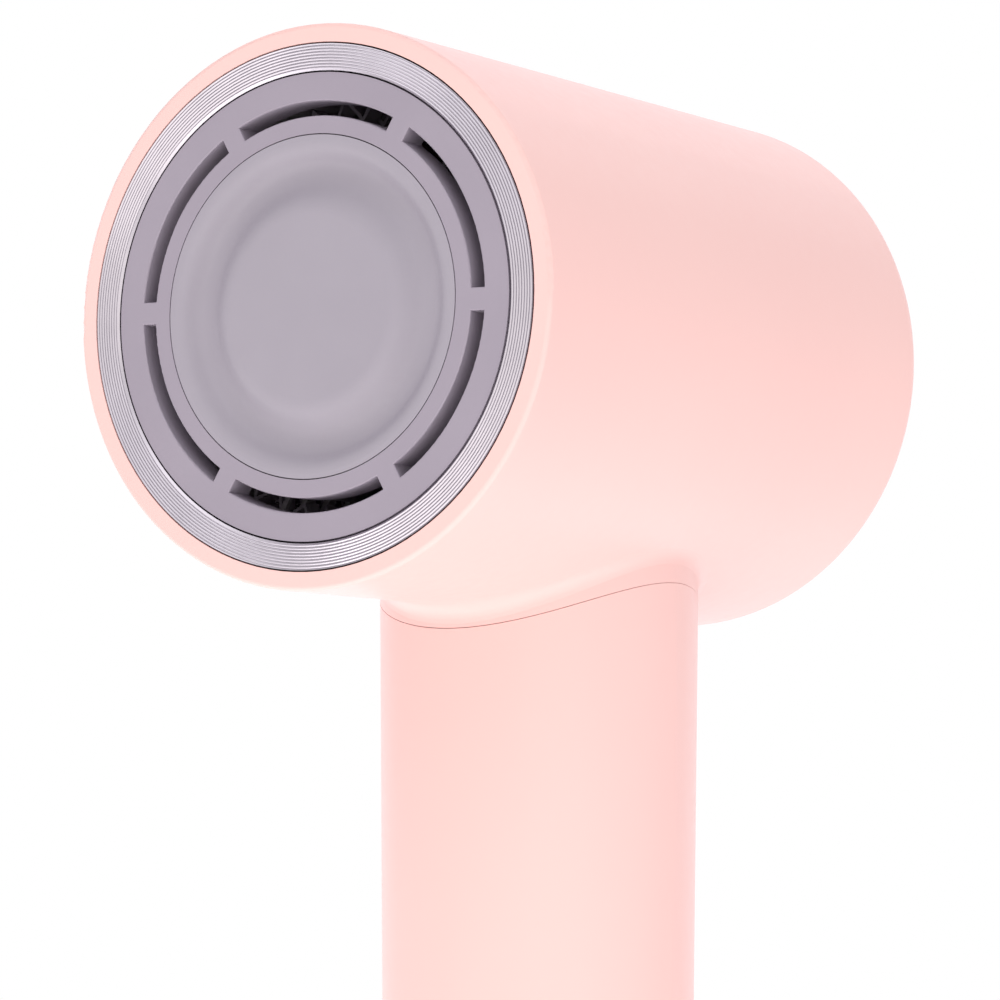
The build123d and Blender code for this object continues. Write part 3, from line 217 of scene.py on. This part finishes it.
def lilac_plastic(slot, dark, light):
    """Moulded plastic with a fine eroded grain."""
    f = Finish(slot)
    f.mottle(12 * MM, dark, light)
    f.roughen(0.7 * MM, rough=(0.46, 0.58), detail=3.0)
    f.bump((f.noise(0.22 * MM), 3 * MICRON))
    f.set(IOR=1.47)
    return f.material


def grained(slot, dark, light, rough, grain, depth, metallic=0.0):
    """A plain moulded, cast or rubbed surface: two shades, a roughness range and a grain."""
    f = Finish(slot)
    scuff = 3 * grain
    f.mottle(8 * MM, dark, light)
    f.roughen(scuff, rough, detail=3.0)
    f.bump((f.noise(grain), depth))
    f.set(Metallic=metallic)
    return f.material


def layered(slot, dark, light, rough, pitch):
    """Metal sheets or turns of wire stacked along Z, one to a pitch."""
    f = Finish(slot)
    bands = f.bands(pitch)
    relief = pitch / 6
    # Colour darkens with the relief into each hollow: painted shade between the turns of wire; between the
    # sheets, partly dark joints and partly painted shade.
    f.tint(bands, dark, light)
    f.roughen(1 * MM, rough)
    f.bump((bands, relief))
    f.set(Metallic=1.0)


def woven_wire(slot):
    """Fine filter cloth: wires crossing round and up the handle."""
    f = Finish(slot)
    place = f.tree.nodes.new("ShaderNodeSeparateXYZ")
    f.link(f.space, place.inputs["Vector"])
    angle = f.operate("ARCTAN2", place.outputs["Y"], place.outputs["X"])
    across = f.operate("SINE", f.operate("MULTIPLY", angle, WIRES_ROUND))
    up = f.operate("SINE", f.operate("MULTIPLY", place.outputs["Z"], WIRES_UP))
    weave = f.operate("MAXIMUM", across, up)
    # Near black in the openings between the wires, lighter on the wires: painted shade in the openings.
    shade = f.spread(weave, 0.0, 1.0, start=0.0, end=0.9)
    f.tint(shade, dark=(0.012, 0.012, 0.014), light=(0.34, 0.33, 0.34))
    f.roughen(0.8 * MM, rough=(0.30, 0.42))
    f.bump((weave, 50 * MICRON))
    f.set(Metallic=1.0)
    return f.material


# Finishes of the record's material slots
pink_satin("pink_satin")
turned_aluminium("turned_aluminium")
lilac_plastic("lilac_plastic", dark=(0.321, 0.278, 0.340), light=(0.338, 0.293, 0.357))
grained(
    "dark_plastic",
    dark=(0.040, 0.037, 0.045), light=(0.052, 0.048, 0.058),
    rough=(0.48, 0.62), grain=0.25 * MM, depth=4 * MICRON,
)
grained(
    "clear_mica",
    dark=(0.520, 0.470, 0.510), light=(0.590, 0.540, 0.580),
    rough=(0.36, 0.50), grain=1.2 * MM, depth=3 * MICRON,
)
grained(
    "heater_alloy",
    dark=(0.46, 0.40, 0.47), light=(0.51, 0.45, 0.52),
    rough=(0.60, 0.72), grain=0.4 * MM, depth=3 * MICRON,
)
grained(
    "steel", metallic=1.0,
    dark=(0.50, 0.50, 0.52), light=(0.60, 0.60, 0.61),
    rough=(0.24, 0.36), grain=0.5 * MM, depth=2 * MICRON,
)
grained(
    "soft_rubber",
    dark=(0.024, 0.023, 0.026), light=(0.034, 0.033, 0.036),
    rough=(0.62, 0.78), grain=0.4 * MM, depth=8 * MICRON,
)
grained(
    "motor_aluminium", metallic=1.0,
    dark=(0.58, 0.58, 0.60), light=(0.68, 0.68, 0.69),
    rough=(0.30, 0.44), grain=0.6 * MM, depth=4 * MICRON,
)
grained(
    "magnet_black",
    dark=(0.030, 0.029, 0.030), light=(0.048, 0.046, 0.047),
    rough=(0.40, 0.55), grain=0.5 * MM, depth=5 * MICRON,
)
grained(
    "board_green",
    dark=(0.018, 0.085, 0.045), light=(0.030, 0.120, 0.062),
    rough=(0.30, 0.42), grain=0.9 * MM, depth=6 * MICRON,
)
grained(
    "white_plastic",
    dark=(0.70, 0.69, 0.66), light=(0.77, 0.76, 0.73),
    rough=(0.40, 0.52), grain=0.3 * MM, depth=4 * MICRON,
)
layered("laminations", dark=(0.16, 0.16, 0.17), light=(0.34, 0.34, 0.35), rough=(0.34, 0.48), pitch=0.5 * MM)
layered("copper_wire", dark=(0.40, 0.15, 0.06), light=(0.78, 0.36, 0.17), rough=(0.26, 0.38), pitch=0.45 * MM)


def refinish(material, *names):
    """Gives nodes a finish of their own in place of their slot's."""
    for name in names:
        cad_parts[name].material_slots[0].material = material


lilac_cap = lilac_plastic("lilac_cap", dark=(0.343, 0.309, 0.364), light=(0.358, 0.324, 0.380))
duct_plastic = grained(
    "duct_plastic",
    dark=(0.410, 0.345, 0.430), light=(0.450, 0.385, 0.470),
    rough=(0.50, 0.62), grain=0.25 * MM, depth=4 * MICRON,
)
refinish(lilac_cap, "centre_cap")
refinish(duct_plastic, "outlet_liner", "flow_core", "air_deflector", "neck_duct")
refinish(woven_wire("filter_wire"), "filter_mesh")

# The rear cover is shaded flat, because its smoothed normals stray at its centre
refinish(pink_satin("pink_cover", flat=True), "rear_cover")


def floor():
    """A pale disc that stays under the intake cover, which stands on it."""
    bpy.ops.mesh.primitive_circle_add(vertices=FLOOR_SIDES, radius=FLOOR_R, fill_type="NGON")
    disc = bpy.context.object
    disc.name = "floor"
    f = Finish("pale_floor")
    f.mottle(350 * MM, dark=(0.90, 0.895, 0.895), light=(0.92, 0.915, 0.915))
    f.roughen(20 * MM, rough=(0.55, 0.65))
    radius = f.distance_from_axis(origin=(0, 0, 0), scale=(1, 1, 0))
    f.drive("Alpha", f.spread(radius, 1.0, 0.0, start=FLOOR_SOLID_R, end=FLOOR_R))
    disc.data.materials.append(f.material)
    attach(disc, "intake")


def bearing(azimuth, elevation):
    """The way out to a bearing in radians: azimuth 0 is in front of the outlet, and it grows towards +X."""
    return Vector((
        math.sin(azimuth) * math.cos(elevation),
        -math.cos(azimuth) * math.cos(elevation),
        math.sin(elevation),
    ))


def soft_box(name, azimuth, elevation, power, colour=WHITE, distance=0.9, size=1.0, lights=None):
    """A square soft light that faces the barrel from a bearing in degrees, on all or on one collection."""
    light = bpy.data.lights.new(name, "AREA")
    light.shape = "SQUARE"
    light.size = size
    light.energy = power
    light.color = colour
    lamp = bpy.data.objects.new(name, light)
    way = bearing(math.radians(azimuth), math.radians(elevation))
    lamp.location = Vector((0, 0, AXIS_Z)) + distance * way
    lamp.rotation_euler = way.to_track_quat("Z", "Y").to_euler()
    lamp.visible_camera = False
    if lights:
        lamp.light_linking.receiver_collection = lights
        lamp.light_linking.blocker_collection = lights
    bpy.context.scene.collection.objects.link(lamp)


def tent():
    """A surround that looks white and lights the dryer less strongly."""
    world = bpy.data.worlds.new("tent")
    world.use_nodes = True
    tree = world.node_tree
    background = tree.nodes["Background"]
    background.inputs["Color"].default_value = (*WHITE, 1.0)
    seen = tree.nodes.new("ShaderNodeLightPath").outputs["Is Camera Ray"]
    level = tree.nodes.new("ShaderNodeMath")
    level.operation = "MAXIMUM"
    level.inputs[1].default_value = TENT_STRENGTH
    tree.links.new(seen, level.inputs[0])
    tree.links.new(level.outputs["Value"], background.inputs["Strength"])
    bpy.context.scene.world = world


def studio():
    """Soft boxes: the two above light all, the rest the dryer alone, so that the floor stays even."""
    dryer = bpy.data.collections.new("dryer")
    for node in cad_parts.values():
        dryer.objects.link(node)
    soft_box("overhead", azimuth=0, elevation=88, power=1.6)
    soft_box("upper_front", azimuth=12, elevation=50, power=2.0)
    soft_box(
        "backdrop", azimuth=212.5, elevation=5, power=9.6, colour=PINK_WHITE,
        distance=1.2, size=2.4, lights=dryer,
    )
    soft_box("front_right", azimuth=45, elevation=0, power=2.1, colour=WARM_WHITE, distance=1.2, lights=dryer)
    soft_box("under_front", azimuth=0, elevation=-40, power=3.2, colour=WARM_WHITE, lights=dryer)
    soft_box("under_right", azimuth=90, elevation=-40, power=3.0, lights=dryer)
    soft_box("under_left", azimuth=-80, elevation=-40, power=2.8, lights=dryer)
    soft_box("underneath", azimuth=0, elevation=-85, power=1.7, lights=dryer)


def camera():
    data = bpy.data.cameras.new("camera")
    data.lens = CAMERA_LENS
    data.sensor_width = CAMERA_FRAME
    data.clip_start = CAMERA_NEAR
    eye = bpy.data.objects.new("camera", data)
    back = bearing(CAMERA_AZ, CAMERA_EL)
    right = Vector((math.cos(CAMERA_AZ), math.sin(CAMERA_AZ), 0.0))
    turn = Matrix((right, back.cross(right), back)).transposed()
    turn = turn @ Matrix.Rotation(CAMERA_ROLL, 3, "Z")
    eye.matrix_world = Matrix.Translation(AIM + CAMERA_DISTANCE * back) @ turn.to_4x4()
    bpy.context.scene.collection.objects.link(eye)
    bpy.context.scene.camera = eye


floor()
tent()
studio()
camera()
bpy.context.scene.view_settings.view_transform = "Standard"
